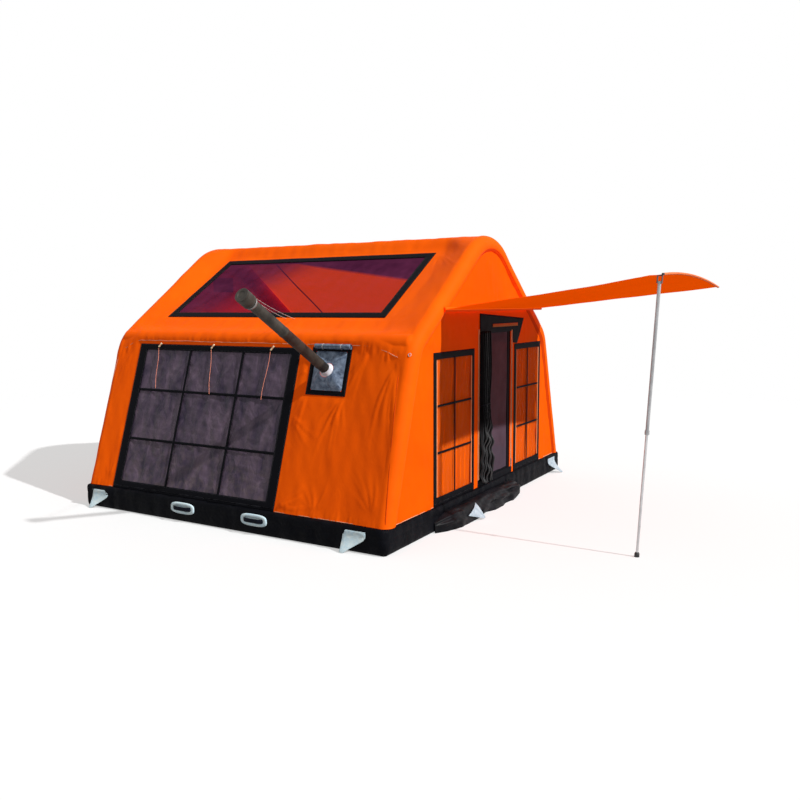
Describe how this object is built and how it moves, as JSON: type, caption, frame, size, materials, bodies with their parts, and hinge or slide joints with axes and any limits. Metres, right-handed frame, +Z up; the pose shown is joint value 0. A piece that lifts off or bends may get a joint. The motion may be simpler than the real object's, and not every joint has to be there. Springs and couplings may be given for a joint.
{
  "type": "inflatable tent",
  "caption": "Inflatable cabin tent on a welded base ring, with an air frame, windows, stove jack and chimney, double door and a folding awning on a pole.",
  "frame": {"origin": "centre of the floor's underside, on the ground", "axes": "+X along the ridge towards the door end, +Y across the tent away from the big window, +Z up"},
  "size_m": [5.0354, 4.3883, 2.4435],
  "materials": {
    "orange_cloth": "coated woven cloth, soft sheen",
    "black_pvc": "coated PVC, satin",
    "window_film": "clear flexible film, glossy",
    "silver_pvc": "reflective coated PVC, satin",
    "flue_steel": "heat-darkened steel",
    "pole_metal": "dark painted tube",
    "black_plastic": "moulded, matte",
    "cream_plastic": "moulded, satin",
    "cord_weave": "braided cord",
    "net": "fine net"
  },
  "bodies": {
    "tent": {"anchor_tab_front_left": "silver_pvc", "anchor_tab_front_right": "silver_pvc", "anchor_tab_left_front": "silver_pvc", "anchor_tab_left_rear": "silver_pvc", "awning_root_strip": "orange_cloth", "base_ring": "black_pvc", "big_window_film": "window_film", "big_window_frame": "black_pvc", "chimney_pipe": "flue_steel", "chimney_stay_front": "cord_weave", "chimney_stay_rear": "cord_weave", "door_header": "black_pvc", "door_leaf": "black_pvc", "door_skirt": "black_pvc", "door_zip_tape": "orange_cloth", "eave_tube_left": "orange_cloth", "eave_tube_right": "orange_cloth", "end_window_curtain_left": "orange_cloth", "end_window_curtain_right": "orange_cloth", "end_window_film_left": "window_film", "end_window_film_right": "window_film", "end_window_frame_left": "black_pvc", "end_window_frame_right": "black_pvc", "floor_deck": "black_pvc", "front_arch_tube": "orange_cloth", "gable_skin_front": "orange_cloth", "gable_skin_rear": "orange_cloth", "grab_handle_front": "silver_pvc", "grab_handle_rear": "silver_pvc", "jack_border": "black_pvc", "jack_cover_roll": "orange_cloth", "jack_panel": "silver_pvc", "rear_arch_tube": "orange_cloth", "rear_vent_window": "window_film", "ridge_tube": "orange_cloth", "roof_skin_left": "orange_cloth", "roof_skin_right": "orange_cloth", "skylight_film": "window_film", "skylight_frame": "black_pvc", "stay_collar": "pole_metal", "toggle_cord_1": "cord_weave", "toggle_cord_2": "cord_weave", "toggle_cord_3": "cord_weave", "valve_body": "black_plastic", "wall_skin_left": "orange_cloth", "wall_skin_right": "orange_cloth", "window_toggle_1": "cream_plastic", "window_toggle_2": "cream_plastic", "window_toggle_3": "cream_plastic"},
    "awning": {"awning_sheet": "orange_cloth", "awning_hem_rod": "black_plastic", "awning_bracket": "black_plastic"},
    "pole_upper": {"pole_upper_tube": "pole_metal"},
    "pole_lower": {"pole_lower_tube": "pole_metal", "pole_foot": "black_plastic"},
    "mesh_door": {"mesh_door_border": "black_pvc", "mesh_door_net": "net"},
    "zip": {"zip_slider": "pole_metal"},
    "valve_cap": {"valve_cap": "black_plastic"},
    "chimney_cap": {"chimney_cap": "flue_steel"}
  },
  "joints": [
    {"name": "awning_fold", "type": "hinge", "parent": "tent", "child": "awning", "pos_m": [1.662, 0.125, 1.8], "axis": [0, 1, 0], "range_deg": [0, 80]},
    {"name": "pole_fold", "type": "hinge", "parent": "awning", "child": "pole_upper", "pos_m": [3.32103, -0.936, 1.98794], "axis": [0.9987, 0, -0.0506], "range_deg": [0, 88]},
    {"name": "pole_telescope", "type": "slide", "parent": "pole_upper", "child": "pole_lower", "axis": [0.0506, 0, 0.9987], "range_m": [0, 0.85]},
    {"name": "mesh_door_swing", "type": "hinge", "parent": "tent", "child": "mesh_door", "pos_m": [1.6107, -0.227, 0.9], "axis": [0, 0, 1], "range_deg": [0, 86]},
    {"name": "door_zip_travel", "type": "slide", "parent": "tent", "child": "zip", "axis": [0, 0, 1], "range_m": [0, 1.25]},
    {"name": "valve_cap_turn", "type": "hinge", "parent": "tent", "child": "valve_cap", "pos_m": [-1.6523, -0.9, 0.11], "axis": [-1, 0, 0], "range_deg": [0, 90]},
    {"name": "chimney_cap_pull", "type": "slide", "parent": "tent", "child": "chimney_cap", "axis": [0, -0.859, 0.512], "range_m": [0, 0.08]}
  ],
  "couplings": [
    {"joint": "pole_fold", "follows": "awning_fold", "ratio": 1.1}
  ]
}
